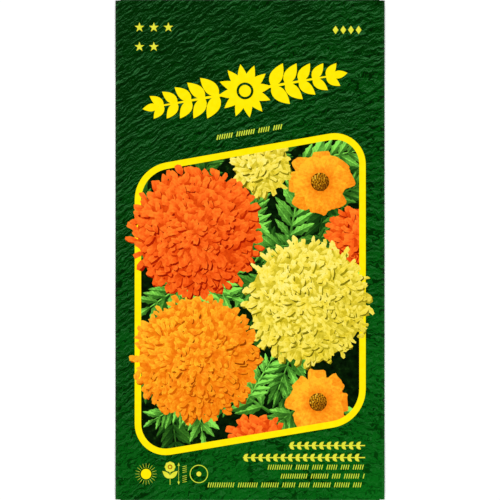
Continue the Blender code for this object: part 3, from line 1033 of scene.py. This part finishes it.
def cracks(graph, sheet, u, across, calm):
    """The depth of thin broken lines that run along the ridges, outside the top left. They run where noise
    is 0.5, and are as wide where it is steep as where it isn't."""
    near, far = two_noises(graph, u, across, CRACK_LENGTH, CRACK_PITCH, CRACK_STEP, 1.5)
    steepness = graph.maths("MAXIMUM", graph.unsigned(graph.minus(far, near)), CRACK_STEEPNESS)
    beside = graph.maths("DIVIDE", graph.unsigned(graph.minus(near, 0.5)), steepness)
    broken = graph.ranged(graph.noise(sheet, 0.33, 1.0), 0.38, 0.52)
    depth = graph.times(graph.ranged(calm, 0.15, 0.45), graph.line(calm, -0.45, 0.93))
    return graph.times(graph.ranged(beside, 2.0, 0.7), graph.times(broken, depth))


def to_fold(graph, u, v):
    """How far each point is from the middle of the nearest fold in millimetres."""
    to_side = graph.minus(graph.unsigned(u), RIGHT_LINE + RIGHT_TURN / 2)
    to_end = graph.minus(graph.unsigned(v), END_LINE + END_FOLD_ARC / 2)
    return graph.unsigned(graph.maths("MAXIMUM", to_side, to_end))


def green_print():
    """A printed crinkle like creased leather: ridges over green, each pale on its upper side and dark on its
    lower one. They climb to the right, steeply at the left, and are nearly level at the right. Towards the
    bottom right the green gets brighter and the ridges fainter, with dark cracks between them. The gloss is
    worn off along the folds."""
    graph = Graph("green_print")
    sheet = graph.attribute("sheet")
    u, v, _ = graph.split(sheet)
    place = graph.line(v, CALM_UPWARD, graph.line(u, CALM_RIGHTWARD, CALM))
    patch = graph.ranged(graph.noise(sheet, 0.09, 2.0), 0.35, 0.65, -0.10, 0.10)
    calm = graph.maths("ADD", place, patch, clamp=True)
    across = across_ridges(graph, sheet, u, v, calm)
    relief = graph.minus(ridges(graph, u, across, calm), cracks(graph, sheet, u, across, calm))
    ground = graph.mix(calm, WILD_GREEN, CALM_GREEN)
    pale = graph.times(graph.ranged(relief, 0.04, 0.40), graph.line(calm, -0.60, 0.90))
    faint = graph.line(graph.times(calm, calm), -0.45, 1.0)
    dark = graph.times(graph.ranged(relief, -0.06, -0.34), faint)
    colour = graph.mix(dark, graph.mix(pale, ground, UPPER_GREEN), LOWER_GREEN)
    graph.set_roughness(graph.ranged(to_fold(graph, u, v), 0.5, 1.1, WORN_ROUGHNESS, GLOSS_ROUGHNESS))
    return graph.finish(colour, relief, 0.03)


def even_ink(name, low, high, scale=0.6):
    """A solid ink whose colour and gloss drift a little."""
    graph = Graph(name)
    blot = graph.noise(graph.attribute("sheet"), scale, 4.0)
    graph.set_roughness(graph.ranged(blot, 0.3, 0.7, 0.2, 0.28))
    return graph.finish(graph.ramp(blot, (0.3, 0.7), (low, high)))


def yellow_ink():
    return even_ink("yellow_ink", (255, 228, 0), (255, 236, 10))


def pale_ink():
    return even_ink("pale_ink", (214, 218, 44), (236, 232, 70))


def lime_ink():
    """The greener yellow of thin lines and strokes."""
    return even_ink("lime_ink", (194, 214, 52), (214, 230, 70))


def brown_ink():
    return even_ink("brown_ink", (150, 92, 0), (176, 112, 6))


def green_ink():
    return even_ink("green_ink", (4, 70, 14), (10, 84, 22))


def leaf_green():
    return even_ink("leaf_green", (84, 166, 50), (100, 180, 62))


def flower_orange():
    return even_ink("flower_orange", (246, 124, 20), (252, 138, 32))


def back_white():
    return even_ink("back_white", (240, 238, 222), (247, 246, 234), 0.3)


def shade_ink():
    """The dark gaps behind the leaves."""
    graph = Graph("shade_ink")
    blot = graph.noise(graph.attribute("sheet"), 0.55, 5.0, 0.6)
    return graph.finish(graph.ramp(blot, (0.35, 0.6, 0.75), ((0, 8, 0), (8, 30, 4), (28, 66, 14))))


def petal_ink(name, places, shades, tint, root_share, stripes=2.6):
    """Petals: darker at the root, paler at the tip and the rims, hollowed along the middle and streaked. All
    over the flower are mottles and patches that lean towards the tint."""
    graph = Graph(name)
    sheet = graph.attribute("sheet")
    across, along, chance, side, end, bright = graph.motif()
    aside = graph.unsigned(across)
    root = graph.ranged(along, 0.1, 0.75, root_share, 1.03)
    lean = graph.line(graph.times(across, side), 0.16, 1.0)
    tip = graph.line(graph.times(graph.minus(along, 0.6), end), 0.28, 1.0)
    groove = graph.ranged(aside, 0.0, 0.45, 0.92, 1.0)
    rim = graph.ranged(aside, 0.7, 1.0, 1.0, 1.08)
    streak = graph.streaks(graph.times(across, stripes), graph.times(along, 1.1), chance, 0.91, 1.07)
    mottle = graph.ranged(graph.noise(sheet, 1.1, 3.0, 0.6), 0.3, 0.7, 0.84, 1.12)
    bright = graph.times(bright, root, lean, tip, groove, rim, streak, mottle)
    patch = graph.ranged(graph.noise(sheet, 0.4, 3.0, 0.6), 0.4, 0.65)
    return graph.finish(graph.mix(patch, graph.ramp(bright, places, shades), tint, "MULTIPLY"))


def orange_petal():
    shades = ((138, 12, 0), (180, 34, 0), (232, 80, 12), (249, 102, 26), (255, 132, 38))
    return petal_ink("orange_petal", (0.0, 0.25, 0.5, 0.7, 1.0), shades, (1.0, 0.87, 0.87), 0.73)


AMBER_PLACES = (0.0, 0.3, 0.5, 0.7, 1.0)
AMBER_SHADES = ((140, 60, 0), (204, 94, 2), (238, 122, 10), (250, 150, 24), (255, 190, 40))


def amber_petal():
    return petal_ink("amber_petal", AMBER_PLACES, AMBER_SHADES, (1.0, 0.87, 1.0), 0.78)


def broad_petal():
    return petal_ink("broad_petal", AMBER_PLACES, AMBER_SHADES, (1.0, 0.9, 1.0), 0.62, stripes=7.0)


def cream_petal():
    shades = ((106, 96, 4), (150, 138, 16), (218, 198, 50), (246, 226, 86), (255, 242, 132))
    return petal_ink("cream_petal", (0.0, 0.25, 0.5, 0.7, 1.0), shades, (1.0, 0.96, 0.55), 0.76)


def disc_ink():
    shades = ((56, 26, 0), (140, 78, 6), (214, 150, 20), (250, 206, 70))
    return petal_ink("disc_ink", (0.0, 0.4, 0.7, 1.0), shades, (1.0, 1.0, 0.8), 0.6)


def leaf_ink():
    """Leaves: a pale midrib, slanting side veins, and one half in more light than the other."""
    graph = Graph("leaf_ink")
    across, along, chance, side, _, bright = graph.motif()
    aside = graph.unsigned(across)
    half = graph.ranged(across, -0.12, 0.12, -1.0, 1.0)
    lean = graph.line(graph.times(half, side), 0.4, 1.0)
    phase = graph.minus(graph.times(along, 44.0), graph.times(aside, 9.0))
    veins = graph.line(graph.maths("SINE", phase), 0.06, 1.0)
    rib = graph.ranged(aside, 0.04, 0.16, 1.3, 1.0)
    root = graph.ranged(along, 0.0, 0.6, 0.65, 1.03)
    mottle = graph.streaks(graph.times(across, 1.2), graph.times(along, 2.4), chance, 0.8, 1.2)
    bright = graph.times(bright, lean, veins, rib, root, mottle)
    shades = ((6, 18, 2), (22, 66, 14), (58, 118, 32), (98, 172, 58), (142, 232, 86))
    return graph.finish(graph.ramp(bright, (0.0, 0.25, 0.5, 0.75, 1.0), shades))


def bare_paper():
    graph = Graph("bare_paper", roughness=0.85)
    fibres = graph.noise(graph.attribute("sheet"), 3.0, 5.0, 0.65)
    colour = graph.ramp(fibres, (0.3, 0.7), ((226, 222, 208), (240, 238, 228)))
    return graph.finish(colour, fibres, 0.2)


INKS = {
    make.__name__: make
    for make in (
        green_print, yellow_ink, pale_ink, lime_ink, brown_ink, green_ink, leaf_green, flower_orange,
        back_white, shade_ink, leaf_ink, disc_ink, orange_petal, amber_petal, broad_petal, cream_petal,
        bare_paper,
    )
}


def seed_coat():
    """Dry black-brown husk with fine paler fibres."""
    graph = Graph("seed_coat", roughness=0.6)
    place = graph.add("TexCoord", {}).outputs["Object"]
    fibres = graph.noise(place, 2.2 / MM, 4.0, 0.6)
    patches = graph.noise(place, 0.5 / MM, 2.0)
    husk = graph.ramp(fibres, (0.3, 0.55, 0.75), ((28, 22, 18), (52, 42, 32), (112, 96, 72)))
    colour = graph.mix(graph.ranged(patches, 0.45, 0.7, 0.0, 0.5), husk, srgb(150, 132, 100))
    return graph.finish(colour, fibres, 0.5, 0.05 * MM)


def dried_glue():
    """Yellowish glue with cloudy and clearer patches."""
    graph = Graph("dried_glue", roughness=0.4)
    clouds = graph.noise(graph.add("TexCoord", {}).outputs["Object"], 0.8 / MM, 4.0, 0.6)
    graph.set_roughness(graph.ranged(clouds, 0.3, 0.7, 0.28, 0.55))
    colour = graph.ramp(clouds, (0.3, 0.7), ((212, 200, 162), (238, 232, 208)))
    return graph.finish(colour, clouds, 0.3, 0.05 * MM)


def paint_solids():
    """Gives the seeds and the glue lines, which stay as they are, their materials."""
    made = {"seed_coat": seed_coat(), "dried_glue": dried_glue()}
    for part in frame["record"]["subparts"]:
        if part["material_slot"] in made:
            bpy.data.objects[part["node"]].material_slots[0].material = made[part["material_slot"]]


# The stage

LENS = 200.0
SENSOR = 36.0
CAMERA_CLIP = (0.05, 10.0)
FACE_HEIGHT = 1.0


def add_camera():
    """Looks straight down, with the packet's length just filling the picture's height."""
    camera = add_object("camera", bpy.data.cameras.new("camera"))
    camera.data.lens, camera.data.sensor_width = LENS, SENSOR
    distance = VIEW_SHARE * HALF_LENGTH * MM / (SENSOR / 2 / LENS)
    camera.location = (0.0, 0.0, distance + FACE_HEIGHT * MM)
    camera.data.clip_start, camera.data.clip_end = CAMERA_CLIP
    bpy.context.scene.camera = camera


# Suns: name, bearing and height in degrees, and power
SUNS = (
    ("front_left", -8, 32, 1.5),
    ("front_right", 8, 32, 1.5),
    ("back_left", 188, 32, 1.5),
    ("back_right", 172, 32, 1.5),
)
SUN_ANGLE = 20
STUDIO_GLOW = 0.05


def add_lights():
    """Soft light from low in front and behind, so that the glossy print mirrors none of it straight up."""
    for name, bearing, height, power in SUNS:
        lamp = bpy.data.lights.new(name, "SUN")
        lamp.energy, lamp.angle = power, math.radians(SUN_ANGLE)
        add_object(name, lamp).rotation_euler = (math.radians(90 - height), 0.0, math.radians(bearing))
    world = bpy.data.worlds.new("studio")
    world.use_nodes = True
    background = world.node_tree.nodes["Background"]
    background.inputs["Color"].default_value = (1.0, 1.0, 1.0, 1.0)
    background.inputs["Strength"].default_value = STUDIO_GLOW
    bpy.context.scene.world = world


FLOOR_HALF = 2.0


def add_floor():
    mesh = bpy.data.meshes.new("floor")
    corners = [(-1, -1), (1, -1), (1, 1), (-1, 1)]
    mesh.from_pydata([(FLOOR_HALF * a, FLOOR_HALF * b, 0.0) for a, b in corners], [], [(0, 1, 2, 3)])
    mesh.materials.append(Graph("floor", roughness=0.9).finish((0.98, 0.98, 0.98)))
    add_object("floor", mesh)


def main():
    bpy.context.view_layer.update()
    bpy.context.scene.view_settings.view_transform = "Standard"
    sheet = make_sheet()
    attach(sheet, "root")
    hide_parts("paper_envelope")
    paint_solids()
    add_camera()
    add_lights()
    add_floor()


main()
